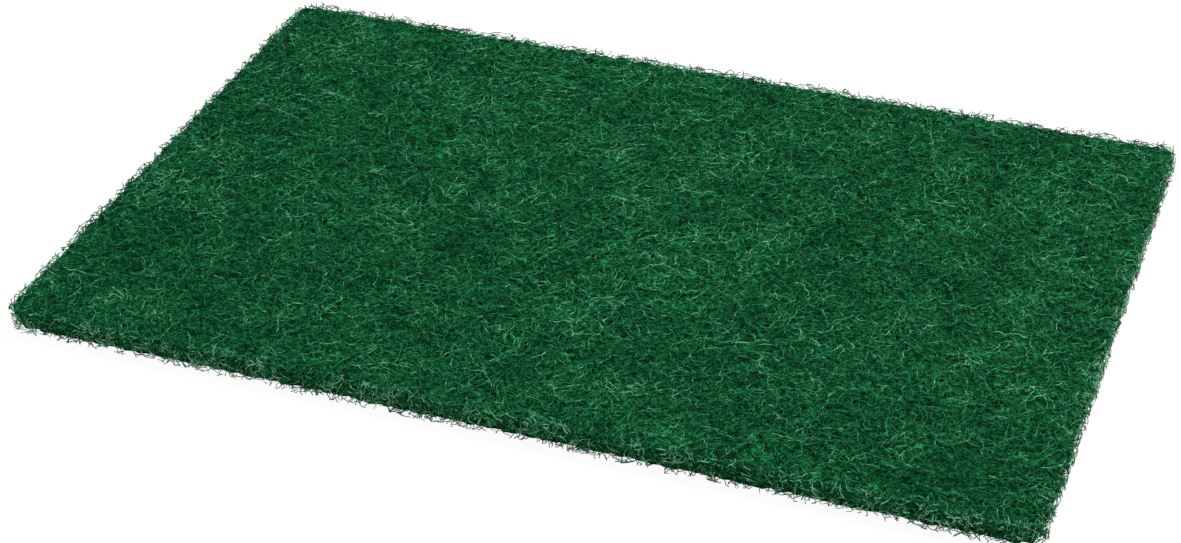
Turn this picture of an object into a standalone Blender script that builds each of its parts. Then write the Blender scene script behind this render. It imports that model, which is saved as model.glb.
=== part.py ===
"""Scouring pad: one rectangular slab of lofty non-woven web, cut from a wide sheet.

Units are metres. +Z is up, +X runs along the long side and +Y along the short side.
The origin is the middle of the underside, on the surface that the pad lies on.

The real pad is crimped fibres bonded at every crossing by a resin that carries the grit.
It is one thing all the way through, so it is one solid: a flat underside, four cut sides
and a top that rises and dips a little with the loft of the web.
"""

import math

import bmesh
import bpy
from mathutils import Vector, noise

# Overall size of the cut pad
LENGTH = 0.230
WIDTH = 0.150
THICKNESS = 0.0065

# Cut edges: the blade nips the web down along the rim and leaves soft corners
CORNER_RADIUS = 0.004
TOP_EDGE_RADIUS = 0.0014
BOTTOM_EDGE_RADIUS = 0.0006
NIP_DEPTH = 0.0005
NIP_WIDTH = 0.008

# Loft of the web: how deep its dips can be, how far apart they are, and where the pattern starts
LOFT_DEPTH = 0.0010
LOFT_SPACING = 0.022
LOFT_START = Vector((0.7, 3.1, 5.3))

# Fineness of the mesh
TOP_PITCH = 0.0085
TOP_EDGE_STEPS = 4
BOTTOM_EDGE_STEPS = 2
SHARP_ANGLE = math.radians(50)

# Green of the resin, as linear light, and the dull finish of fibre coated with grit
WEB_GREEN = (0.012, 0.110, 0.040, 1.0)
WEB_ROUGHNESS = 0.9
WEB_METALLIC = 0.0


def clear_scene():
    for item in list(bpy.data.objects):
        bpy.data.objects.remove(item, do_unlink=True)


def web_material():
    material = bpy.data.materials.new("bonded_web")
    material.use_nodes = True
    shader = material.node_tree.nodes["Principled BSDF"]
    shader.inputs["Base Color"].default_value = WEB_GREEN
    shader.inputs["Roughness"].default_value = WEB_ROUGHNESS
    shader.inputs["Metallic"].default_value = WEB_METALLIC
    material.diffuse_color = WEB_GREEN
    return material


def rim_distances():
    """Distances in from the cut side at which the top has a line of points."""
    quarter = math.pi / 2
    rounding = [
        TOP_EDGE_RADIUS * (1 - math.cos(quarter * step / TOP_EDGE_STEPS))
        for step in range(TOP_EDGE_STEPS)
    ]
    return rounding + [TOP_EDGE_RADIUS, CORNER_RADIUS, NIP_WIDTH]


def grid_lines(span):
    """Places of the grid's lines across a span that is centred on 0."""
    near_side = [-span / 2 + distance for distance in sorted(rim_distances())]
    middle = -2 * near_side[-1]
    count = max(1, math.ceil(middle / TOP_PITCH))
    between = [near_side[-1] + middle * step / count for step in range(1, count)]
    far_side = [-place for place in reversed(near_side)]
    return near_side + between + far_side


def into_corner(x, y):
    """How far a grid point reaches into its corner block along X and Y, with signs."""
    reach_x = max(abs(x) - (LENGTH / 2 - CORNER_RADIUS), 0.0)
    reach_y = max(abs(y) - (WIDTH / 2 - CORNER_RADIUS), 0.0)
    return Vector((math.copysign(reach_x, x), math.copysign(reach_y, y)))


def plan_point(x, y, inset=0.0):
    """The grid point in plan, with the square corners bent to arcs and moved in by inset."""
    reach = into_corner(x, y)
    if reach.length == 0.0:
        return Vector((x, y))
    out = max(abs(reach.x), abs(reach.y)) - inset
    return Vector((x, y)) - reach + out * reach.normalized()


def smooth_step(share):
    share = min(max(share, 0.0), 1.0)
    return share * share * (3 - 2 * share)


def rim_drop(distance):
    """How far the top lies below its full height at a distance from the cut side."""
    drop = NIP_DEPTH * (1 - smooth_step(distance / NIP_WIDTH))
    if distance < TOP_EDGE_RADIUS:
        along = TOP_EDGE_RADIUS - distance
        drop += TOP_EDGE_RADIUS - math.sqrt(TOP_EDGE_RADIUS**2 - along**2)
    return drop


def top_drop(x, y):
    """How far the top lies below its full height at a grid place, by the nip and the loft."""
    from_side = min(LENGTH / 2 - abs(x), WIDTH / 2 - abs(y))
    level = noise.noise(LOFT_START + Vector((*plan_point(x, y), 0.0)) / LOFT_SPACING)
    dip = LOFT_DEPTH * (1 - level) / 2
    return rim_drop(from_side) + smooth_step(from_side / NIP_WIDTH) * dip


def add_top(mesh, x_lines, y_lines):
    """The top surface as rows of points along X, with its highest point at full height."""
    drops = [[top_drop(x, y) for x in x_lines] for y in y_lines]
    full_height = THICKNESS + min(min(row) for row in drops)
    rows = []
    for y, drop_row in zip(y_lines, drops, strict=True):
        row = []
        for x, drop in zip(x_lines, drop_row, strict=True):
            row.append(mesh.verts.new((*plan_point(x, y), full_height - drop)))
        rows.append(row)
    for low, high in zip(rows[:-1], rows[1:], strict=True):
        for k in range(len(low) - 1):
            mesh.faces.new((low[k], low[k + 1], high[k + 1], high[k]))
    return rows


def rim_places(x_lines, y_lines):
    """Grid places round the rim, anticlockwise from the front left corner."""
    front = [(x, y_lines[0]) for x in x_lines[:-1]]
    right = [(x_lines[-1], y) for y in y_lines[:-1]]
    back = [(x, y_lines[-1]) for x in reversed(x_lines[1:])]
    left = [(x_lines[0], y) for y in reversed(y_lines[1:])]
    return front + right + back + left


def rim_points(rows):
    """The top's own points in the same order as rim_places."""
    right = [row[-1] for row in rows[:-1]]
    left = [row[0] for row in reversed(rows[1:])]
    return rows[0][:-1] + right + rows[-1][:0:-1] + left


def add_sides(mesh, top_rim, places):
    """The cut sides, the soft lower edge and the flat underside."""
    upper = top_rim
    for step in range(BOTTOM_EDGE_STEPS + 1):
        turn = math.pi / 2 * step / BOTTOM_EDGE_STEPS
        inset = BOTTOM_EDGE_RADIUS * (1 - math.cos(turn))
        height = BOTTOM_EDGE_RADIUS * (1 - math.sin(turn))
        lower = [mesh.verts.new((*plan_point(x, y, inset), height)) for x, y in places]
        for k, corner in enumerate(upper):
            after = (k + 1) % len(upper)
            mesh.faces.new((upper[after], corner, lower[k], lower[after]))
        upper = lower
    mesh.faces.new(reversed(upper))


def make_pad():
    x_lines = grid_lines(LENGTH)
    y_lines = grid_lines(WIDTH)
    mesh = bmesh.new()
    rows = add_top(mesh, x_lines, y_lines)
    add_sides(mesh, rim_points(rows), rim_places(x_lines, y_lines))
    data = bpy.data.meshes.new("scouring_pad")
    mesh.to_mesh(data)
    mesh.free()
    data.shade_smooth()
    data.set_sharp_from_angle(angle=SHARP_ANGLE)
    data.materials.append(web_material())
    pad = bpy.data.objects.new("scouring_pad", data)
    bpy.context.scene.collection.objects.link(pad)
    return pad


def main():
    clear_scene()
    make_pad()


main()
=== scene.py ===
import math

import bmesh
import bpy
from mathutils import Matrix, Vector, noise
from mathutils.bvhtree import BVHTree


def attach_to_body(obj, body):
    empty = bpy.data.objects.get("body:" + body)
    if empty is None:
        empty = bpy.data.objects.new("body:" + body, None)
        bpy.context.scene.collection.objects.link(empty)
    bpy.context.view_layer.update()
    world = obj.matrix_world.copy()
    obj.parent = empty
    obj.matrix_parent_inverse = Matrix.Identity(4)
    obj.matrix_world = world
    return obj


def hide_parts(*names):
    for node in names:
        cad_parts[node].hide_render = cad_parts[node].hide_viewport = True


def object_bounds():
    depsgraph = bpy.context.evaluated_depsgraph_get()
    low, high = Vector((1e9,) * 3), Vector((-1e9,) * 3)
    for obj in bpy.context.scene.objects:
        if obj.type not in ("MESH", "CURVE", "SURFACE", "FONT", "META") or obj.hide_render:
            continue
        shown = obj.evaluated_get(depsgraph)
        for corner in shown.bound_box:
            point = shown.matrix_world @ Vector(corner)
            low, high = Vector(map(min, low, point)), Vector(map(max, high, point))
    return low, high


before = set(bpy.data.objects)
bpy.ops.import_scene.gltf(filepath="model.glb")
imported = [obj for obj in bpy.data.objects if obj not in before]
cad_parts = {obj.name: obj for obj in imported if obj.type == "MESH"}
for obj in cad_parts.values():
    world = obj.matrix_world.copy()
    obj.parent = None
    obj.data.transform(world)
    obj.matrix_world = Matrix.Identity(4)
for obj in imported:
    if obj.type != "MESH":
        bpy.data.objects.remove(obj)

bl_info = {
    "name": "Scouring Pad",
    "version": (1, 0, 0),
    "blender": (4, 5, 0),
    "location": "3D View > Sidebar > Scouring Pad",
    "description": "Builds a green scouring pad as a bonded web of crimped fibres round its packed solid",
    "category": "Object",
}

# The imported part's one node, and the body that everything rides on
NODE = "scouring_pad"
BODY = "root"

# Millimetres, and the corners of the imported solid's box, which set the overall size
MM = 0.001
CAD_BOX = [list(corner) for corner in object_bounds()]
LOW = Vector(CAD_BOX[0])
HIGH = Vector(CAD_BOX[1])

# Round corners of the cut, seen from above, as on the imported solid
CORNER_RADIUS = 4 * MM
# A height well above the pad, which rays start from and no fibre reaches
FAR_ABOVE = 1.0

# Range that most values of Blender's noise lie in, and the middle of its colour
NOISE_LOW = 0.3
NOISE_HIGH = 0.7
NOISE_MIDDLE = (0.5, 0.5, 0.5)

# Inputs of the tree that grows fibres. A face takes fibres if the Z of its normal lies from Face Low
# to Face High. Density is in fibres for each square metre, and Patchiness is the share of them that
# the thinnest patches lack. The other inputs are sizes, angles and shares.
FIBRE_SOCKETS = (
    ("Surface", "NodeSocketGeometry"),
    ("Density", "NodeSocketFloat"),
    ("Patchiness", "NodeSocketFloat"),
    ("Patch Size", "NodeSocketFloat"),
    ("Face Low", "NodeSocketFloat"),
    ("Face High", "NodeSocketFloat"),
    ("Depth Low", "NodeSocketFloat"),
    ("Depth High", "NodeSocketFloat"),
    ("Tilt", "NodeSocketFloat"),
    ("Fibre Length", "NodeSocketFloat"),
    ("Fibre Radius", "NodeSocketFloat"),
    ("Crimp Pitch", "NodeSocketFloat"),
    ("Crimp Height", "NodeSocketFloat"),
    ("Wander Pitch", "NodeSocketFloat"),
    ("Wander Height", "NodeSocketFloat"),
    ("Flatness", "NodeSocketFloat"),
    ("Steps", "NodeSocketInt"),
    ("Straight Half", "NodeSocketVector"),
    ("Corner Radius", "NodeSocketFloat"),
    ("Lowest", "NodeSocketFloat"),
    ("Highest", "NodeSocketFloat"),
    ("Overhang", "NodeSocketFloat"),
    ("Seed", "NodeSocketInt"),
    ("Material", "NodeSocketMaterial"),
)

# The fibres of the top lie nearly flat
TOP_GROWTH = {
    "Density": 116000.0,
    "Patchiness": 0.35,
    "Patch Size": 12 * MM,
    "Face Low": 0.8,
    "Face High": 2.0,
    "Tilt": math.radians(5),
    "Flatness": 0.35,
    "Overhang": 0.2 * MM,
}
# They come in four lays: how deep each begins and ends, the deepest first. The first two are painted
# darker, painted shade for their depth.
TOP_LAYS = ((0.5 * MM, 0.9 * MM), (0.25 * MM, 0.6 * MM), (0.1 * MM, 0.35 * MM), (0.0, 0.15 * MM))
DEEP_LAYS = 2
TOP_SEED = 3

# The blade cuts the fibres of the sides short, and they point every way
SIDE_GROWTH = {
    "Density": 1250000.0,
    "Patchiness": 0.3,
    "Patch Size": 10 * MM,
    "Face Low": -0.7,
    "Face High": 0.8,
    "Depth Low": 0.0,
    "Depth High": 1.1 * MM,
    "Tilt": math.radians(50),
    "Fibre Length": 3 * MM,
    "Steps": 5,
    "Crimp Height": 0.45 * MM,
    "Wander Height": 0.5 * MM,
    "Flatness": 0.6,
    "Overhang": 0.3 * MM,
    "Seed": 20,
}

# The fibres of the underside are pressed flat by the table
UNDER_GROWTH = {
    "Density": 20000.0,
    "Patchiness": 0.5,
    "Patch Size": 12 * MM,
    "Face Low": -2.0,
    "Face High": -0.8,
    "Depth Low": 0.1 * MM,
    "Depth High": 0.5 * MM,
    "Tilt": math.radians(4),
    "Flatness": 0.2,
    "Overhang": 0.3 * MM,
    "Seed": 40,
}

# What tells one random draw of a fibre from the next, and what sets its noises apart from its neighbour's
TONE_DRAW = 11
DEPTH_DRAW = 23
TILT_DRAW = 37
YAW_DRAW = 41
STRETCH_DRAW = 53
WANDER_APART = 7.0
CRIMP_APART = 90.0

# Fibres differ in length by these shares, and resin lumps make them thinner and thicker by these
STRETCH_RANGE = (0.75, 1.2)
LUMP_PITCH = 1.3 * MM
LUMP_RANGE = (0.7, 1.3)
# A noise of this many times the wanted height bends a fibre by about that height
NOISE_TO_HEIGHT = 4.0
# Least height of a fibre's middle above the table, as a share of its diameter, which clears its lumps
TABLE_CLEARANCE = 0.75

# How far fibres differ in tone, how long a dark or light stretch of resin on them is, how wide the
# soft patches over the pad are, and how strongly stretches and patches show
TONE_SPREAD = 0.4
COAT_PITCH = 1.2 * MM
COAT_STRENGTH = 1.5
PATCH_PITCH = 11 * MM
PATCH_STRENGTH = 0.7
CORE_PATCH_STRENGTH = 0.5

# Colours of each fibre finish along its range of tone, from the darkest. Beside each fibre's own tone, the
# darkest stops are painted shade and the lightest are painted highlights.
FIBRE_TONES = {
    "deep_resin_coated_fibre": ((0.0, "painted_hollow_shade"), (0.4, "shade"), (0.7, "middle"), (1.0, "bright")),
    "resin_coated_fibre": ((0.05, "shade"), (0.4, "middle"), (0.65, "bright"), (0.95, "light")),
    "cut_resin_coated_fibre": ((0.0, "cut_painted_shade"), (0.4, "middle"), (0.7, "light"), (1.0, "cut_painted_light")),
    "pressed_resin_coated_fibre": ((0.0, "shade"), (0.45, "middle"), (0.75, "bright"), (1.0, "light")),
}
# The dense middle's ramp runs from painted shade in its hollows to painted light on its highest strands
CORE_TONES = ((0.0, "painted_hollow_shade"), (0.35, "shade"), (0.75, "middle"), (1.0, "bright"))

# Strands of the dense middle, in three lays: distance between curls, how far from its middle a strand
# fades out on the noise's scale, and how high the lay stands. The widths are matched to the
# strands of 0.2 to 0.3 mm in the photo.
STRAND_LAYS = ((1.5 * MM, 0.10, 0.45), (1.3 * MM, 0.085, 0.7), (1.7 * MM, 0.07, 0.95))
LAY_SHIFT = Vector((13 * MM, 7 * MM, 0.0))
STRAND_RELIEF = 0.3 * MM

# Rings of the dense middle's sides, as shares of the way down, and how far on the noise that makes
# them ragged is read at the foot
SIDE_RINGS = (0.35, 0.7, 1.0)
RAGGED_SHIFT = 3 * MM

# Pinhole camera, fitted to the four outline edges of the pad in the photo
PHOTO_WIDTH_PX = 1181
FOCAL_PX = 2513.7
SENSOR_MM = 36.0
CAMERA_PLACE = Vector((0.1692, -0.45011, 0.31742))
CAMERA_YAW = math.radians(21.271)
CAMERA_PITCH = math.radians(34.019)
CAMERA_ROLL = math.radians(-1.293)
NEAREST_SEEN = 0.01

# White stage: half the floor's width, the share of plain white that the camera sees on it, which
# leaves the pad a faint shadow, the level of the surrounding light, and the lamps (place, size, watts)
FLOOR_HALF = 3.0
FLOOR_WHITE_SHARE = 0.93
WHITE = (1.0, 1.0, 1.0, 1.0)
ROOM_LEVEL = 0.55
LAMPS = {
    "key_lamp": ((0.35, 0.45, 0.75), 0.5, 11.0),
    "fill_lamp": ((-0.6, -0.3, 0.7), 0.8, 3.0),
}


def linear(hex_colour):
    """A written sRGB colour such as 0e6237, as linear red, green and blue with an alpha of 1."""
    parts = [int(hex_colour[k:k + 2], 16) / 255 for k in (0, 2, 4)]
    light = [c / 12.92 if c <= 0.04045 else ((c + 0.055) / 1.055) ** 2.4 for c in parts]
    return (*light, 1.0)


def length_property(name, description, default):
    return bpy.props.FloatProperty(
        name=name, description=description, default=default, min=0.0, precision=5, unit="LENGTH"
    )


def colour_property(name, description, hex_colour):
    return bpy.props.FloatVectorProperty(
        name=name,
        description=description,
        default=linear(hex_colour),
        size=4,
        min=0.0,
        max=1.0,
        subtype="COLOR",
    )


class PadFibreSettings(bpy.types.PropertyGroup):
    """Sizes of the crimped fibres."""

    diameter: length_property("Fibre Diameter", "Coated fibre, from side to side", 0.21 * MM)
    length: length_property("Fibre Length", "Length of a fibre before it is crimped", 5.5 * MM)
    crimp_pitch: length_property("Crimp Pitch", "Distance between the crimps along a fibre", 1.5 * MM)
    crimp_height: length_property("Crimp Height", "How far a crimp bends a fibre aside", 0.6 * MM)
    wander_pitch: length_property("Wander Pitch", "Distance between the slow bends of a fibre", 6 * MM)
    wander_height: length_property("Wander Height", "How far a slow bend carries a fibre", 1.2 * MM)
    steps: bpy.props.IntProperty(
        name="Steps", description="Straight lengths that a fibre is drawn with", default=9, min=4
    )


class PadCoreSettings(bpy.types.PropertyGroup):
    """Sizes of the dense middle of the web, below its loose outer fibres."""

    top_depth: length_property("Top Depth", "How far the dense web lies below the top", 0.6 * MM)
    upper_inset: length_property("Upper Inset", "How far in from the cut side it is, high up", 0.5 * MM)
    lower_inset: length_property("Lower Inset", "How far in from the cut side it is, low down", 1.3 * MM)
    base_height: length_property("Base Height", "How far the dense web stays off the table", 0.6 * MM)
    pitch: length_property("Relief Pitch", "Distance between the points of the relief", 0.95 * MM)
    pit_size: length_property("Pit Size", "Width of the hollows between clumps of fibre", 1.7 * MM)
    pit_depth: length_property("Pit Depth", "Depth of the hollows between clumps of fibre", 0.8 * MM)
    raggedness: length_property("Raggedness", "How far its sides stray in and out", 0.9 * MM)


class PadColourSettings(bpy.types.PropertyGroup):
    """Greens of the resin and the grit, with painted shade and painted highlights among them, and the
    stage's white.
    """

    # Painted shade in the hollows deep in the web
    painted_hollow_shade: colour_property("Hollow Green", "Hollows deep in the web", "00240a")
    # Painted shade deep in the web
    shade: colour_property("Shade Green", "Thick resin deep in the web", "033a1b")
    middle: colour_property("Middle Green", "Resin on most fibres", "0e6237")
    # Partly the fibres' own lighter tone, partly painted light on the fibres and strand tops near the top
    bright: colour_property("Bright Green", "Thinly coated fibres near the top", "277d50")
    # Painted highlight on the fibres
    light: colour_property("Light Green", "Grit that catches the light", "72b08c")
    # Painted shade on the backlit fringe of the cut sides
    cut_painted_shade: colour_property("Cut Dark", "Thick resin on the cut side", "0e2418")
    # Painted light on the fibres of the cut sides
    cut_painted_light: colour_property("Cut Pale", "Bare fibre ends on the cut side", "8fae9c")
    floor: colour_property("Floor White", "Floor under the pad", "f4f4f4")


class ScouringPadSettings(bpy.types.PropertyGroup):
    """Everything that can be set on the pad."""

    fibres: bpy.props.PointerProperty(type=PadFibreSettings, name="Fibres", description="Crimped fibres")
    core: bpy.props.PointerProperty(type=PadCoreSettings, name="Core", description="Dense middle")
    colours: bpy.props.PointerProperty(
        type=PadColourSettings, name="Colours", description="Greens and white"
    )


def settings():
    return bpy.context.scene.scouring_pad


def tone_stops(tones):
    """Places and linear colours of a ramp, from places and the names of the colour settings."""
    return [(place, getattr(settings().colours, name)) for place, name in tones]


def add(tree, kind, inputs=None, stops=None, **values):
    """Adds a node with its settings, the numbers and links of its sockets and a ramp's colour stops.

    A socket takes a number, another node's socket, or another node, whose first output it is given.
    """
    node = tree.nodes.new(kind)
    for name, value in values.items():
        setattr(node, name, value)
    for key, value in (inputs or {}).items():
        if isinstance(value, bpy.types.Node):
            value = value.outputs[0]
        if isinstance(value, bpy.types.NodeSocket):
            tree.links.new(value, node.inputs[key])
        else:
            node.inputs[key].default_value = value
    if stops:
        marks = node.color_ramp.elements
        marks[0].position, marks[0].color = stops[0]
        marks[1].position, marks[1].color = stops[-1]
        for place, colour in stops[1:-1]:
            marks.new(place).color = colour
    return node


def link_object(name, mesh):
    item = bpy.data.objects.new(name, mesh)
    bpy.context.scene.collection.objects.link(item)
    return item


def attach(piece):
    """Rides the piece on the pad's body."""
    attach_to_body(piece, BODY)


def cad_mesh(name):
    """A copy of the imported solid's mesh, with its loose triangles joined at their corners."""
    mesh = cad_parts[NODE].data.copy()
    mesh.name = name
    mesh.materials.clear()
    work = bmesh.new()
    work.from_mesh(mesh)
    bmesh.ops.remove_doubles(work, verts=work.verts, dist=1e-6)
    work.to_mesh(mesh)
    work.free()
    return mesh


def chance(tree, given, draw, low, high):
    """A random number from low to high for each fibre, where draw tells one number from another."""
    seed = add(tree, "FunctionNodeIntegerMath", {0: given["Seed"], 1: draw}, operation="ADD")
    return add(
        tree, "FunctionNodeRandomValue", {2: low, 3: high, "Seed": seed}, data_type="FLOAT"
    ).outputs[1]


def own_shift(tree):
    """The three random numbers from 0 to 1 that each fibre carries along with it."""
    return add(tree, "GeometryNodeInputNamedAttribute", {"Name": "shift"}, data_type="FLOAT_VECTOR")


def strew(tree, given):
    """Points over the faces that look the given way, more of them in some patches than in others."""
    position = add(tree, "GeometryNodeInputPosition")
    facing = add(tree, "ShaderNodeSeparateXYZ", {0: add(tree, "GeometryNodeInputNormal")}).outputs["Z"]
    above = add(tree, "FunctionNodeCompare", {0: facing, 1: given["Face Low"]}, operation="GREATER_EQUAL")
    below = add(tree, "FunctionNodeCompare", {0: facing, 1: given["Face High"]}, operation="LESS_THAN")
    chosen = add(tree, "FunctionNodeBooleanMath", {0: above, 1: below}, operation="AND")
    patch_scale = add(tree, "ShaderNodeMath", {0: 1.0, 1: given["Patch Size"]}, operation="DIVIDE")
    patch = add(tree, "ShaderNodeTexNoise", {"Vector": position, "Scale": patch_scale, "Detail": 2.0})
    least = add(tree, "ShaderNodeMath", {0: 1.0, 1: given["Patchiness"]}, operation="SUBTRACT")
    uneven = add(
        tree,
        "ShaderNodeMapRange",
        {"Value": patch, "From Min": NOISE_LOW, "From Max": NOISE_HIGH, "To Min": least, "To Max": 1.0},
    )
    density = add(tree, "ShaderNodeMath", {0: uneven, 1: given["Density"]}, operation="MULTIPLY")
    return add(
        tree,
        "GeometryNodeDistributePointsOnFaces",
        {0: given["Surface"], "Selection": chosen, "Density": density, "Seed": given["Seed"]},
        distribute_method="RANDOM",
    )


def lay(tree, given, points):
    """A straight fibre at each point, sunk to its own depth and turned its own way along the face."""
    toned = add(
        tree,
        "GeometryNodeStoreNamedAttribute",
        {"Geometry": points, "Name": "tone", "Value": chance(tree, given, TONE_DRAW, 0.0, 1.0)},
        data_type="FLOAT",
        domain="POINT",
    )
    shift = add(
        tree,
        "FunctionNodeRandomValue",
        {0: (0.0, 0.0, 0.0), 1: (1.0, 1.0, 1.0), "Seed": given["Seed"]},
        data_type="FLOAT_VECTOR",
    )
    shifted = add(
        tree,
        "GeometryNodeStoreNamedAttribute",
        {"Geometry": toned, "Name": "shift", "Value": shift},
        data_type="FLOAT_VECTOR",
        domain="POINT",
    )
    depth = chance(tree, given, DEPTH_DRAW, given["Depth Low"], given["Depth High"])
    inwards = add(tree, "ShaderNodeMath", {0: depth, 1: -1.0}, operation="MULTIPLY")
    normal = points.outputs["Normal"]
    sink = add(tree, "ShaderNodeVectorMath", {0: normal, "Scale": inwards}, operation="SCALE")
    sunk = add(tree, "GeometryNodeSetPosition", {"Geometry": shifted, "Offset": sink})

    lowest_tilt = add(tree, "ShaderNodeMath", {0: given["Tilt"], 1: -1.0}, operation="MULTIPLY")
    tilt = chance(tree, given, TILT_DRAW, lowest_tilt.outputs[0], given["Tilt"])
    yaw = chance(tree, given, YAW_DRAW, 0.0, math.tau)
    angles = add(tree, "ShaderNodeCombineXYZ", {1: tilt, 2: yaw})
    turn = add(tree, "FunctionNodeEulerToRotation", {0: angles})
    turned = add(
        tree,
        "FunctionNodeRotateRotation",
        {0: points.outputs["Rotation"], 1: turn},
        rotation_space="LOCAL",
    )
    half = add(tree, "ShaderNodeMath", {0: given["Fibre Length"], 1: 0.5}, operation="MULTIPLY")
    back = add(tree, "ShaderNodeMath", {0: half, 1: -1.0}, operation="MULTIPLY")
    start = add(tree, "ShaderNodeCombineXYZ", {0: back})
    end = add(tree, "ShaderNodeCombineXYZ", {0: half})
    straight = add(tree, "GeometryNodeCurvePrimitiveLine", {"Start": start, "End": end})
    count = add(tree, "FunctionNodeIntegerMath", {0: given["Steps"], 1: 1}, operation="ADD")
    stepped = add(tree, "GeometryNodeResampleCurve", {"Curve": straight, "Count": count})
    longer = chance(tree, given, STRETCH_DRAW, *STRETCH_RANGE)
    stretch = add(tree, "ShaderNodeCombineXYZ", {0: longer, 1: 1.0, 2: 1.0})
    laid = add(
        tree,
        "GeometryNodeInstanceOnPoints",
        {"Points": sunk, "Instance": stepped, "Rotation": turned, "Scale": stretch},
    )
    return add(tree, "GeometryNodeRealizeInstances", {0: laid})


def bend(tree, given, fibres):
    """Slow bends and crimps, less in height than across."""
    position = add(tree, "GeometryNodeInputPosition")
    bends = []
    for pitch, height, spread in (
        (given["Wander Pitch"], given["Wander Height"], WANDER_APART),
        (given["Crimp Pitch"], given["Crimp Height"], CRIMP_APART),
    ):
        scale = add(tree, "ShaderNodeMath", {0: 1.0, 1: pitch}, operation="DIVIDE")
        scaled = add(tree, "ShaderNodeVectorMath", {0: position, "Scale": scale}, operation="SCALE")
        apart = add(tree, "ShaderNodeVectorMath", {0: own_shift(tree), "Scale": spread}, operation="SCALE")
        place = add(tree, "ShaderNodeVectorMath", {0: scaled, 1: apart}, operation="ADD")
        waves = add(tree, "ShaderNodeTexNoise", {"Vector": place, "Scale": 1.0, "Detail": 0.0})
        colour = waves.outputs["Color"]
        centred = add(tree, "ShaderNodeVectorMath", {0: colour, 1: NOISE_MIDDLE}, operation="SUBTRACT")
        reach = add(tree, "ShaderNodeMath", {0: height, 1: NOISE_TO_HEIGHT}, operation="MULTIPLY")
        bends.append(add(tree, "ShaderNodeVectorMath", {0: centred, "Scale": reach}, operation="SCALE"))
    both = add(tree, "ShaderNodeVectorMath", {0: bends[0], 1: bends[1]}, operation="ADD")
    flatten = add(tree, "ShaderNodeCombineXYZ", {0: 1.0, 1: 1.0, 2: given["Flatness"]})
    offset = add(tree, "ShaderNodeVectorMath", {0: both, 1: flatten}, operation="MULTIPLY")
    return add(tree, "GeometryNodeSetPosition", {"Geometry": fibres, "Offset": offset})


def trim(tree, given, fibres):
    """Keeps fibres within the cut sides and their round corners, under the top and above the table.

    Each stands proud of the sides and the top by its own share of the overhang.
    """
    position = add(tree, "GeometryNodeInputPosition")
    share = add(tree, "ShaderNodeSeparateXYZ", {0: own_shift(tree)}).outputs["Y"]
    proud = add(tree, "ShaderNodeMath", {0: share, 1: given["Overhang"]}, operation="MULTIPLY")
    apart = add(tree, "ShaderNodeVectorMath", {0: position}, operation="ABSOLUTE")
    inner = add(tree, "ShaderNodeVectorMath", {0: apart, 1: given["Straight Half"]}, operation="MINIMUM")
    reach = add(tree, "ShaderNodeVectorMath", {0: apart, 1: inner}, operation="SUBTRACT")
    distance = add(tree, "ShaderNodeVectorMath", {0: reach}, operation="LENGTH").outputs["Value"]
    allowed = add(tree, "ShaderNodeMath", {0: given["Corner Radius"], 1: proud}, operation="ADD")
    fitting = add(tree, "ShaderNodeMath", {0: allowed, 1: distance}, operation="DIVIDE")
    pull = add(tree, "ShaderNodeMath", {0: fitting, 1: 1.0}, operation="MINIMUM")
    pulled = add(tree, "ShaderNodeVectorMath", {0: reach, "Scale": pull}, operation="SCALE")
    within = add(tree, "ShaderNodeVectorMath", {0: inner, 1: pulled}, operation="ADD")
    side = add(tree, "ShaderNodeVectorMath", {0: position}, operation="SIGN")
    placed = add(tree, "ShaderNodeVectorMath", {0: within, 1: side}, operation="MULTIPLY")
    parts = add(tree, "ShaderNodeSeparateXYZ", {0: placed})
    ceiling = add(tree, "ShaderNodeMath", {0: given["Highest"], 1: proud}, operation="ADD")
    lowered = add(tree, "ShaderNodeMath", {0: parts.outputs["Z"], 1: ceiling}, operation="MINIMUM")
    raised = add(tree, "ShaderNodeMath", {0: lowered, 1: given["Lowest"]}, operation="MAXIMUM")
    kept = add(tree, "ShaderNodeCombineXYZ", {0: parts.outputs["X"], 1: parts.outputs["Y"], 2: raised})
    return add(tree, "GeometryNodeSetPosition", {"Geometry": fibres, "Position": kept})


def thicken(tree, given, fibres):
    """Closed three-sided tubes along the fibres, with lumps of resin on them."""
    position = add(tree, "GeometryNodeInputPosition")
    lumps = add(tree, "ShaderNodeTexNoise", {"Vector": position, "Scale": 1 / LUMP_PITCH, "Detail": 0.0})
    thin, thick = LUMP_RANGE
    swelling = add(
        tree,
        "ShaderNodeMapRange",
        {"Value": lumps, "From Min": NOISE_LOW, "From Max": NOISE_HIGH, "To Min": thin, "To Max": thick},
    )
    swollen = add(tree, "GeometryNodeSetCurveRadius", {"Curve": fibres, "Radius": swelling})
    ring = add(tree, "GeometryNodeCurvePrimitiveCircle", {"Resolution": 3, "Radius": given["Fibre Radius"]})
    size = add(tree, "GeometryNodeInputRadius")
    tubes = add(
        tree,
        "GeometryNodeCurveToMesh",
        {"Curve": swollen, "Profile Curve": ring, "Fill Caps": True, "Scale": size},
    )
    bare = add(tree, "GeometryNodeRemoveAttribute", {"Geometry": tubes, "Name": "shift"})
    return add(tree, "GeometryNodeSetShadeSmooth", {"Geometry": bare, "Shade Smooth": True})


def fibre_tree():
    """Crimped fibres strewn over the faces of a mesh that look a given way, each with its own tone."""
    tree = bpy.data.node_groups.new("crimped_fibres", "GeometryNodeTree")
    for name, kind in FIBRE_SOCKETS:
        tree.interface.new_socket(name, in_out="INPUT", socket_type=kind)
    tree.interface.new_socket("Fibres", in_out="OUTPUT", socket_type="NodeSocketGeometry")
    given = add(tree, "NodeGroupInput").outputs
    fibres = lay(tree, given, strew(tree, given))
    tubes = thicken(tree, given, trim(tree, given, bend(tree, given, fibres)))
    whole = add(tree, "GeometryNodeRealizeInstances", {0: tubes})
    finished = add(tree, "GeometryNodeSetMaterial", {"Geometry": whole, "Material": given["Material"]})
    add(tree, "NodeGroupOutput", {0: finished})
    return tree


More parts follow.
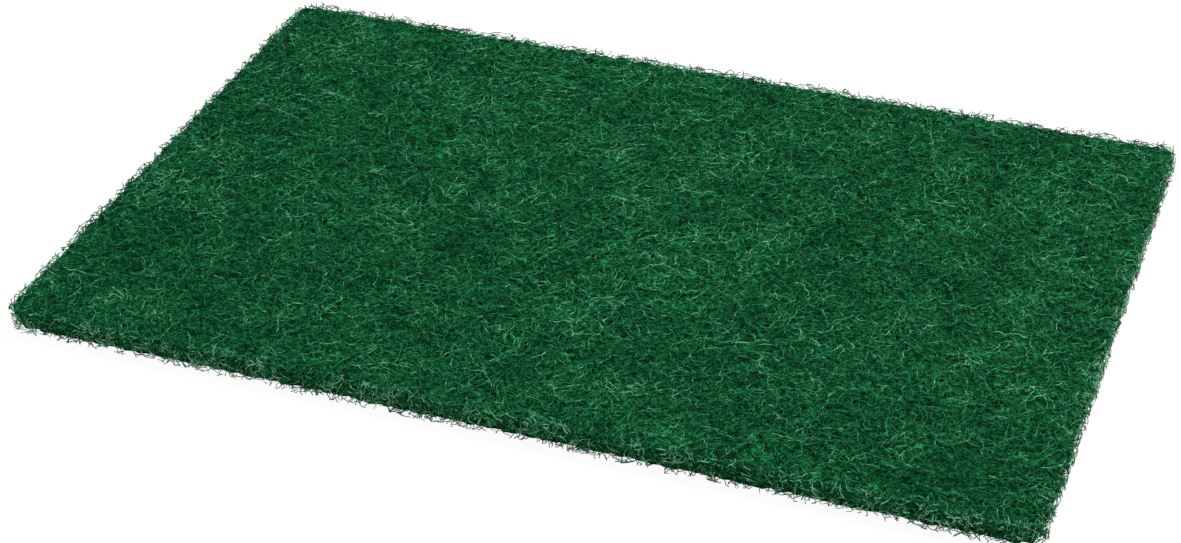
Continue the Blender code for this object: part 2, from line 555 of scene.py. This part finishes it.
def grow_fibres(name, material, growth):
    """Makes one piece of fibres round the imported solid, as a plain mesh."""
    fibres = settings().fibres
    values = {
        "Fibre Length": fibres.length,
        "Fibre Radius": fibres.diameter / 2,
        "Crimp Pitch": fibres.crimp_pitch,
        "Crimp Height": fibres.crimp_height,
        "Wander Pitch": fibres.wander_pitch,
        "Wander Height": fibres.wander_height,
        "Steps": fibres.steps,
        "Straight Half": Vector((HIGH.x - CORNER_RADIUS, HIGH.y - CORNER_RADIUS, FAR_ABOVE)),
        "Corner Radius": CORNER_RADIUS,
        "Lowest": LOW.z + TABLE_CLEARANCE * fibres.diameter,
        "Highest": HIGH.z,
        "Material": material,
    } | growth
    tree = bpy.data.node_groups.get("crimped_fibres") or fibre_tree()
    piece = link_object(name, cad_mesh(name + "_faces"))
    modifier = piece.modifiers.new("fibres", "NODES")
    modifier.node_group = tree
    sockets = {item.name: item.identifier for item in tree.interface.items_tree if item.in_out == "INPUT"}
    for label, value in values.items():
        modifier[sockets[label]] = value
    bpy.context.view_layer.update()
    grown = piece.evaluated_get(bpy.context.evaluated_depsgraph_get())
    mesh = bpy.data.meshes.new_from_object(grown)
    if not mesh.polygons:
        raise RuntimeError(f"{name} grew no fibres")
    piece.modifiers.remove(modifier)
    faces = piece.data
    piece.data = mesh
    mesh.name = name
    bpy.data.meshes.remove(faces)
    attach(piece)
    return piece


def web_shader(name):
    """A new material for resin-coated web, with its tree, its shader and its Object coordinates.

    The cured resin is full of fine grit, so it looks dull, with hardly any shine.
    """
    material = bpy.data.materials.new(name)
    material.use_nodes = True
    tree = material.node_tree
    shader = tree.nodes["Principled BSDF"]
    shader.inputs["IOR"].default_value = 1.5
    shader.inputs["Roughness"].default_value = 0.72
    shader.inputs["Specular IOR Level"].default_value = 0.05
    where = add(tree, "ShaderNodeTexCoord").outputs["Object"]
    return material, tree, shader, where


def unevenness(tree, where, pitch, strength, detail=2.0):
    """How much more or less resin there is than usual, as a noise that is centred on 0."""
    field = add(tree, "ShaderNodeTexNoise", {"Vector": where, "Scale": 1 / pitch, "Detail": detail})
    return add(
        tree, "ShaderNodeMath", {0: field, 1: strength, 2: -strength / 2}, operation="MULTIPLY_ADD"
    )


def fibre_material(name):
    """Crimped synthetic fibre, sprayed with green resin and grit and cured in an oven.

    Each fibre has its own tone. The resin is a dull film that is thicker in some places than in
    others, which gives the eye light and dark stretches along a fibre and soft patches over the pad.
    """
    material, tree, shader, where = web_shader(name)
    tone = add(tree, "ShaderNodeAttribute", attribute_name="tone").outputs["Fac"]
    darkest = (1 - TONE_SPREAD) / 2
    level = add(
        tree, "ShaderNodeMath", {0: tone, 1: TONE_SPREAD, 2: darkest}, operation="MULTIPLY_ADD"
    )
    for pitch, strength in ((COAT_PITCH, COAT_STRENGTH), (PATCH_PITCH, PATCH_STRENGTH)):
        change = unevenness(tree, where, pitch, strength)
        level = add(tree, "ShaderNodeMath", {0: level, 1: change}, operation="ADD")
    # The ramp's darkest stops are painted shade and its lightest are painted highlights
    colour = add(tree, "ShaderNodeValToRGB", {0: level}, stops=tone_stops(FIBRE_TONES[name]))
    tree.links.new(colour.outputs[0], shader.inputs["Base Color"])
    return material


def core_material():
    """The same fibre, packed close and bonded by its resin at every crossing.

    It shows the eye strands that cross over one another, with painted shade in the hollows between them:
    the lower a strand, the darker its colour.
    """
    material, tree, shader, where = web_shader("resin_bonded_web")
    height = 0.0
    for number, (pitch, width, lift) in enumerate(STRAND_LAYS):
        moved = add(tree, "ShaderNodeVectorMath", {0: where, 1: LAY_SHIFT * number}, operation="ADD")
        curls = unevenness(tree, moved.outputs[0], pitch, 1.0, detail=1.0)
        away = add(tree, "ShaderNodeMath", {0: curls}, operation="ABSOLUTE")
        strand = add(
            tree,
            "ShaderNodeMapRange",
            {"Value": away, "From Min": 0.0, "From Max": width, "To Min": lift, "To Max": 0.0},
            interpolation_type="SMOOTHSTEP",
        )
        height = add(tree, "ShaderNodeMath", {0: strand, 1: height}, operation="MAXIMUM")
    patches = unevenness(tree, where, PATCH_PITCH, CORE_PATCH_STRENGTH)
    # Painted shade: the colour darkens where the strands stand lower
    shaded = add(tree, "ShaderNodeMath", {0: height, 1: patches}, operation="ADD")
    colour = add(tree, "ShaderNodeValToRGB", {0: shaded}, stops=tone_stops(CORE_TONES))
    tree.links.new(colour.outputs[0], shader.inputs["Base Color"])
    bump = add(tree, "ShaderNodeBump", {"Height": height, "Distance": STRAND_RELIEF, "Strength": 1.0})
    tree.links.new(bump.outputs[0], shader.inputs["Normal"])
    return material


def rounded_place(across, along, inset):
    """A place in plan, from shares of -1 to 1, moved in from the cut side, with its corners bent round."""
    place = Vector((across * (HIGH.x - inset), along * (HIGH.y - inset)))
    reach_x = max(abs(place.x) - (HIGH.x - inset - CORNER_RADIUS), 0.0)
    reach_y = max(abs(place.y) - (HIGH.y - inset - CORNER_RADIUS), 0.0)
    reach = Vector((math.copysign(reach_x, place.x), math.copysign(reach_y, place.y)))
    return place - reach + max(reach_x, reach_y) * reach.normalized()


def core_top(work, solid):
    """The relief of the dense web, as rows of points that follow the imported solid's own top."""
    sizes = settings().core
    columns = round((HIGH.x - LOW.x) / sizes.pitch)
    lines = round((HIGH.y - LOW.y) / sizes.pitch)
    rows = []
    for line in range(lines + 1):
        row = []
        for column in range(columns + 1):
            place = rounded_place(2 * column / columns - 1, 2 * line / lines - 1, sizes.upper_inset)
            hit = solid.ray_cast(Vector((*place, FAR_ABOVE)), Vector((0.0, 0.0, -1.0)))[0]
            if hit is None:
                raise RuntimeError(f"The packed solid has no top at {place.x:.4f}, {place.y:.4f}")
            clump = noise.noise(Vector((*place, 0.0)) / sizes.pit_size)
            depth = sizes.top_depth + sizes.pit_depth * (0.5 - clump)
            row.append(work.verts.new((*place, hit.z - depth)))
        rows.append(row)
    for near, far in zip(rows[:-1], rows[1:], strict=True):
        for k in range(columns):
            work.faces.new((near[k], near[k + 1], far[k + 1], far[k]))
    return rows


def core_sides(work, rows):
    """The ragged sides of the dense web, which draw in towards its foot, and its underside."""
    sizes = settings().core
    lines = len(rows) - 1
    columns = len(rows[0]) - 1
    front = [(2 * k / columns - 1, -1.0) for k in range(columns)]
    right = [(1.0, 2 * k / lines - 1) for k in range(lines)]
    back = [(1 - 2 * k / columns, 1.0) for k in range(columns)]
    left = [(-1.0, 1 - 2 * k / lines) for k in range(lines)]
    places = front + right + back + left
    right_rim = [row[-1] for row in rows[:-1]]
    left_rim = [row[0] for row in reversed(rows[1:])]
    rim = rows[0][:-1] + right_rim + rows[-1][:0:-1] + left_rim
    upper = rim
    for share in SIDE_RINGS:
        lower = []
        for (across, along), edge in zip(places, rim, strict=True):
            ragged = noise.noise(Vector((edge.co.x, edge.co.y, share * RAGGED_SHIFT)) / sizes.pit_size)
            inset = sizes.upper_inset + share * (sizes.lower_inset - sizes.upper_inset)
            place = rounded_place(across, along, inset + ragged * sizes.raggedness)
            height = edge.co.z + share * (sizes.base_height - edge.co.z)
            lower.append(work.verts.new((*place, height)))
        for k, corner in enumerate(upper):
            after = (k + 1) % len(upper)
            work.faces.new((upper[after], corner, lower[k], lower[after]))
        upper = lower
    work.faces.new(reversed(upper))


class PAD_OT_core(bpy.types.Operator):
    """Build the dense middle of the web, with the hollows between its clumps of fibre"""

    bl_idname = "pad.core"
    bl_label = "Dense Core"

    def execute(self, context):
        solid = BVHTree.FromObject(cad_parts[NODE], context.evaluated_depsgraph_get())
        work = bmesh.new()
        core_sides(work, core_top(work, solid))
        mesh = bpy.data.meshes.new("dense_core")
        work.to_mesh(mesh)
        work.free()
        mesh.shade_smooth()
        mesh.materials.append(core_material())
        core = link_object("dense_core", mesh)
        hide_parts(NODE)
        attach(core)
        return {"FINISHED"}


class PAD_OT_top_fibres(bpy.types.Operator):
    """Strew the loose fibres of the top, the deepest lay first"""

    bl_idname = "pad.top_fibres"
    bl_label = "Top Fibres"

    def execute(self, context):
        # The deep lays take a darker copy of the fibre finish, painted shade; the upper lays take a lighter
        # one with painted highlights
        deep = fibre_material("deep_resin_coated_fibre")
        upper = fibre_material("resin_coated_fibre")
        for number, (low, high) in enumerate(TOP_LAYS):
            growth = TOP_GROWTH | {"Depth Low": low, "Depth High": high, "Seed": TOP_SEED + number}
            grow_fibres(f"top_fibres_{number + 1}", deep if number < DEEP_LAYS else upper, growth)
        return {"FINISHED"}


class PAD_OT_side_fibres(bpy.types.Operator):
    """Strew the short, see-through fringe of fibres along the cut sides"""

    bl_idname = "pad.side_fibres"
    bl_label = "Side Fibres"

    def execute(self, context):
        grow_fibres("side_fibres", fibre_material("cut_resin_coated_fibre"), SIDE_GROWTH)
        return {"FINISHED"}


class PAD_OT_under_fibres(bpy.types.Operator):
    """Strew the fibres of the underside, which lie flat on the table"""

    bl_idname = "pad.under_fibres"
    bl_label = "Underside Fibres"

    def execute(self, context):
        grow_fibres("under_fibres", fibre_material("pressed_resin_coated_fibre"), UNDER_GROWTH)
        return {"FINISHED"}


def floor_material():
    """Matt white paper sweep. The camera sees it nearly plain white, with the pad's faint shadow."""
    material = bpy.data.materials.new("matt_white_paper")
    material.use_nodes = True
    tree = material.node_tree
    tree.nodes.remove(tree.nodes["Principled BSDF"])
    matt = add(tree, "ShaderNodeBsdfDiffuse", {"Color": settings().colours.floor})
    white = add(tree, "ShaderNodeEmission", {"Color": WHITE, "Strength": 1.0})
    seen = add(tree, "ShaderNodeLightPath").outputs["Is Camera Ray"]
    share = add(tree, "ShaderNodeMath", {0: seen, 1: FLOOR_WHITE_SHARE}, operation="MULTIPLY")
    both = add(tree, "ShaderNodeMixShader", {0: share, 1: matt, 2: white})
    tree.links.new(both.outputs[0], tree.nodes["Material Output"].inputs["Surface"])
    return material


def place_floor():
    mesh = bpy.data.meshes.new("floor")
    work = bmesh.new()
    bmesh.ops.create_grid(work, x_segments=1, y_segments=1, size=FLOOR_HALF)
    work.to_mesh(mesh)
    work.free()
    mesh.materials.append(floor_material())
    link_object("floor", mesh)


def place_camera(scene):
    data = bpy.data.cameras.new("photo_camera")
    data.sensor_width = SENSOR_MM
    data.lens = FOCAL_PX / PHOTO_WIDTH_PX * SENSOR_MM
    data.clip_start = NEAREST_SEEN
    camera = link_object("photo_camera", data)
    turn = (
        Matrix.Rotation(CAMERA_YAW, 4, "Z")
        @ Matrix.Rotation(math.pi / 2 - CAMERA_PITCH, 4, "X")
        @ Matrix.Rotation(CAMERA_ROLL, 4, "Z")
    )
    camera.matrix_world = Matrix.Translation(CAMERA_PLACE) @ turn
    scene.camera = camera


def place_lights(scene):
    world = bpy.data.worlds.new("studio")
    scene.world = world
    world.use_nodes = True
    room = world.node_tree.nodes["Background"]
    room.inputs["Color"].default_value = WHITE
    room.inputs["Strength"].default_value = ROOM_LEVEL
    for name, (place, size, power) in LAMPS.items():
        lamp = bpy.data.lights.new(name, "AREA")
        lamp.size = size
        lamp.energy = power
        light = link_object(name, lamp)
        light.location = place
        light.rotation_euler = (-Vector(place)).to_track_quat("-Z", "Y").to_euler()


class PAD_OT_stage(bpy.types.Operator):
    """Set the white floor, the soft lamps and the camera"""

    bl_idname = "pad.stage"
    bl_label = "Stage"

    def execute(self, context):
        context.scene.view_settings.view_transform = "Standard"
        place_camera(context.scene)
        place_floor()
        place_lights(context.scene)
        return {"FINISHED"}


STEPS = (PAD_OT_core, PAD_OT_top_fibres, PAD_OT_side_fibres, PAD_OT_under_fibres, PAD_OT_stage)


class PAD_PT_panel(bpy.types.Panel):
    """Sidebar panel with the pad's settings and steps"""

    bl_idname = "PAD_PT_panel"
    bl_label = "Scouring Pad"
    bl_space_type = "VIEW_3D"
    bl_region_type = "UI"
    bl_category = "Scouring Pad"

    def draw(self, context):
        pad = context.scene.scouring_pad
        for group in (pad.fibres, pad.core, pad.colours):
            box = self.layout.box()
            for name in type(group).__annotations__:
                box.prop(group, name)
        for step in STEPS:
            self.layout.operator(step.bl_idname)


CLASSES = (
    PadFibreSettings,
    PadCoreSettings,
    PadColourSettings,
    ScouringPadSettings,
    *STEPS,
    PAD_PT_panel,
)


def register():
    for item in CLASSES:
        bpy.utils.register_class(item)
    bpy.types.Scene.scouring_pad = bpy.props.PointerProperty(
        type=ScouringPadSettings, name="Scouring Pad", description="Settings of the scouring pad"
    )


def unregister():
    del bpy.types.Scene.scouring_pad
    for item in reversed(CLASSES):
        bpy.utils.unregister_class(item)


def main():
    register()
    bpy.ops.pad.core()
    bpy.ops.pad.top_fibres()
    bpy.ops.pad.side_fibres()
    bpy.ops.pad.under_fibres()
    bpy.ops.pad.stage()


if __name__ == "__main__":
    main()
